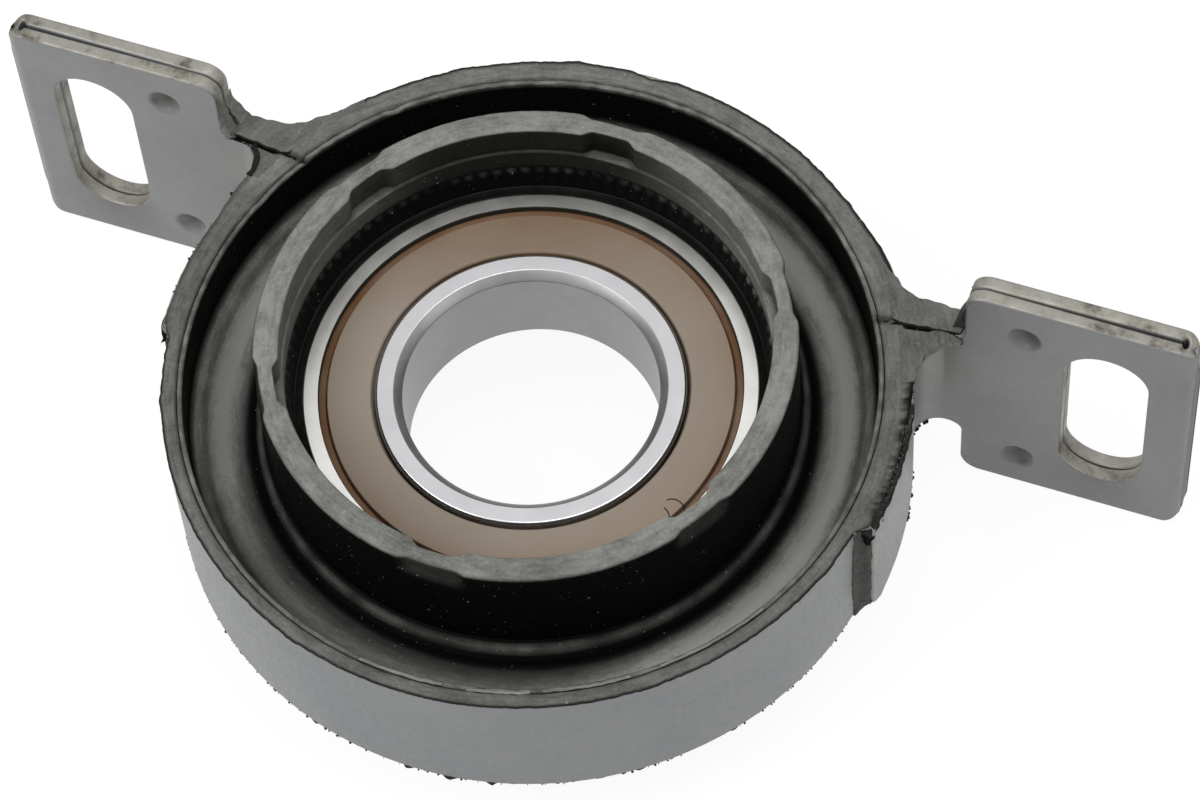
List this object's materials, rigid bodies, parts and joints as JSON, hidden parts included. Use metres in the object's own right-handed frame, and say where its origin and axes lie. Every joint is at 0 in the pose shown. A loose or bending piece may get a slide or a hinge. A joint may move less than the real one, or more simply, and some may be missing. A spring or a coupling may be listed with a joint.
{
  "type": "driveshaft centre bearing",
  "caption": "Sealed ball bearing carried in a notched rubber collar and diaphragm, inside a steel sleeve with a bent strap and two slotted bolt ears.",
  "frame": {"origin": "middle of the bearing's bore, half way along it", "axes": "+Z along the bearing's axis towards the notched collar, +X along the two ears, +Y towards the ears' mounting side"},
  "size_m": [0.147, 0.0873, 0.039],
  "materials": {
    "steel_bracket": "thin grey coat over rolled steel",
    "rubber_body": "matt black moulded rubber",
    "seat_steel": "plain pressed steel",
    "ring_steel": "ground bearing steel",
    "ball_steel": "polished bearing steel",
    "cage_steel": "pressed sheet steel",
    "seal_rubber": "brown moulded rubber"
  },
  "bodies": {
    "bracket": {"outer_sleeve": "steel_bracket", "bracket_strap": "steel_bracket", "rubber_mount": "rubber_body"},
    "bearing_seat": {"inner_sleeve": "seat_steel", "bearing_outer_ring": "ring_steel", "seal_upper": "seal_rubber", "seal_lower": "seal_rubber"},
    "inner_ring": {"bearing_inner_ring": "ring_steel"},
    "cage": {"cage_upper": "cage_steel", "cage_lower": "cage_steel", "cage_rivets": "cage_steel"},
    "rolling_ball_1": {"ball_1": "ball_steel"},
    "rolling_ball_2": {"ball_2": "ball_steel"},
    "rolling_ball_3": {"ball_3": "ball_steel"},
    "rolling_ball_4": {"ball_4": "ball_steel"},
    "rolling_ball_5": {"ball_5": "ball_steel"},
    "rolling_ball_6": {"ball_6": "ball_steel"},
    "rolling_ball_7": {"ball_7": "ball_steel"},
    "rolling_ball_8": {"ball_8": "ball_steel"},
    "rolling_ball_9": {"ball_9": "ball_steel"},
    "rolling_ball_10": {"ball_10": "ball_steel"},
    "rolling_ball_11": {"ball_11": "ball_steel"}
  },
  "joints": [
    {"name": "hub_float", "type": "slide", "parent": "bracket", "child": "bearing_seat", "axis": [0, 0, 1], "range_m": [-0.0025, 0.0025], "stiffness_N_per_m": 20000, "deforming": ["rubber_mount"]},
    {"name": "inner_ring_spin", "type": "hinge", "parent": "bearing_seat", "child": "inner_ring", "pos_m": [0, 0, 0], "axis": [0, 0, 1], "continuous": true},
    {"name": "cage_orbit", "type": "hinge", "parent": "bearing_seat", "child": "cage", "pos_m": [0, 0, 0], "axis": [0, 0, 1], "continuous": true},
    {"name": "ball_1_spin", "type": "hinge", "parent": "cage", "child": "rolling_ball_1", "pos_m": [0.02125, 0, 0], "axis": [0, 0, 1], "continuous": true},
    {"name": "ball_2_spin", "type": "hinge", "parent": "cage", "child": "rolling_ball_2", "pos_m": [0.01788, 0.01149, 0], "axis": [0, 0, 1], "continuous": true},
    {"name": "ball_3_spin", "type": "hinge", "parent": "cage", "child": "rolling_ball_3", "pos_m": [0.00883, 0.01933, 0], "axis": [0, 0, 1], "continuous": true},
    {"name": "ball_4_spin", "type": "hinge", "parent": "cage", "child": "rolling_ball_4", "pos_m": [-0.00302, 0.02103, 0], "axis": [0, 0, 1], "continuous": true},
    {"name": "ball_5_spin", "type": "hinge", "parent": "cage", "child": "rolling_ball_5", "pos_m": [-0.01392, 0.01606, 0], "axis": [0, 0, 1], "continuous": true},
    {"name": "ball_6_spin", "type": "hinge", "parent": "cage", "child": "rolling_ball_6", "pos_m": [-0.02039, 0.00599, 0], "axis": [0, 0, 1], "continuous": true},
    {"name": "ball_7_spin", "type": "hinge", "parent": "cage", "child": "rolling_ball_7", "pos_m": [-0.02039, -0.00599, 0], "axis": [0, 0, 1], "continuous": true},
    {"name": "ball_8_spin", "type": "hinge", "parent": "cage", "child": "rolling_ball_8", "pos_m": [-0.01392, -0.01606, 0], "axis": [0, 0, 1], "continuous": true},
    {"name": "ball_9_spin", "type": "hinge", "parent": "cage", "child": "rolling_ball_9", "pos_m": [-0.00302, -0.02103, 0], "axis": [0, 0, 1], "continuous": true},
    {"name": "ball_10_spin", "type": "hinge", "parent": "cage", "child": "rolling_ball_10", "pos_m": [0.00883, -0.01933, 0], "axis": [0, 0, 1], "continuous": true},
    {"name": "ball_11_spin", "type": "hinge", "parent": "cage", "child": "rolling_ball_11", "pos_m": [0.01788, -0.01149, 0], "axis": [0, 0, 1], "continuous": true}
  ],
  "couplings": [
    {"joint": "cage_orbit", "follows": "inner_ring_spin", "ratio": 0.416},
    {"joint": "ball_1_spin", "follows": "inner_ring_spin", "ratio": -2.8922},
    {"joint": "ball_2_spin", "follows": "inner_ring_spin", "ratio": -2.8922},
    {"joint": "ball_3_spin", "follows": "inner_ring_spin", "ratio": -2.8922},
    {"joint": "ball_4_spin", "follows": "inner_ring_spin", "ratio": -2.8922},
    {"joint": "ball_5_spin", "follows": "inner_ring_spin", "ratio": -2.8922},
    {"joint": "ball_6_spin", "follows": "inner_ring_spin", "ratio": -2.8922},
    {"joint": "ball_7_spin", "follows": "inner_ring_spin", "ratio": -2.8922},
    {"joint": "ball_8_spin", "follows": "inner_ring_spin", "ratio": -2.8922},
    {"joint": "ball_9_spin", "follows": "inner_ring_spin", "ratio": -2.8922},
    {"joint": "ball_10_spin", "follows": "inner_ring_spin", "ratio": -2.8922},
    {"joint": "ball_11_spin", "follows": "inner_ring_spin", "ratio": -2.8922}
  ]
}
